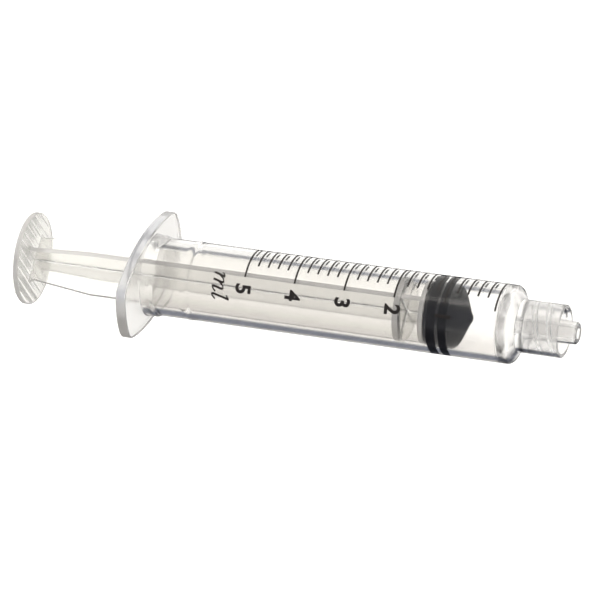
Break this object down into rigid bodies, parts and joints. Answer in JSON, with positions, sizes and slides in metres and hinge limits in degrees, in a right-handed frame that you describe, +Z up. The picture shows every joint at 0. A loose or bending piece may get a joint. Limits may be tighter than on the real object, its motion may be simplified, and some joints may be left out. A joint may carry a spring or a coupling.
{
  "type": "syringe",
  "caption": "Luer lock syringe: clear graduated barrel with a two-wing finger flange, cross-ribbed plunger rod that turns in a black rubber stopper, and a threaded collar round the tip.",
  "frame": {"origin": "middle of the Luer tip's end face", "axes": "+X along the syringe, out of the tip; +Y towards one wing of the finger flange; +Z up, the side that the printed scale faces"},
  "size_m": [0.1038, 0.028, 0.0166],
  "materials": {
    "clear_polypropylene": "clear moulded polypropylene, polished",
    "translucent_polypropylene": "natural translucent polypropylene, as moulded",
    "black_rubber": "siliconised moulded rubber, satin",
    "scale_ink": "printed ink"
  },
  "bodies": {
    "barrel": {"barrel": "clear_polypropylene", "major_graduations": "scale_ink", "minor_graduations": "scale_ink"},
    "stopper": {"stopper": "black_rubber"},
    "plunger_rod": {"plunger_rod": "translucent_polypropylene"}
  },
  "joints": [
    {"name": "plunger_slide", "type": "slide", "parent": "barrel", "child": "stopper", "axis": [1, 0, 0], "range_m": [-0.0382, 0.00837]},
    {"name": "rod_turn", "type": "hinge", "parent": "stopper", "child": "plunger_rod", "pos_m": [-0.0257, 0, 0], "axis": [1, 0, 0], "continuous": true}
  ]
}
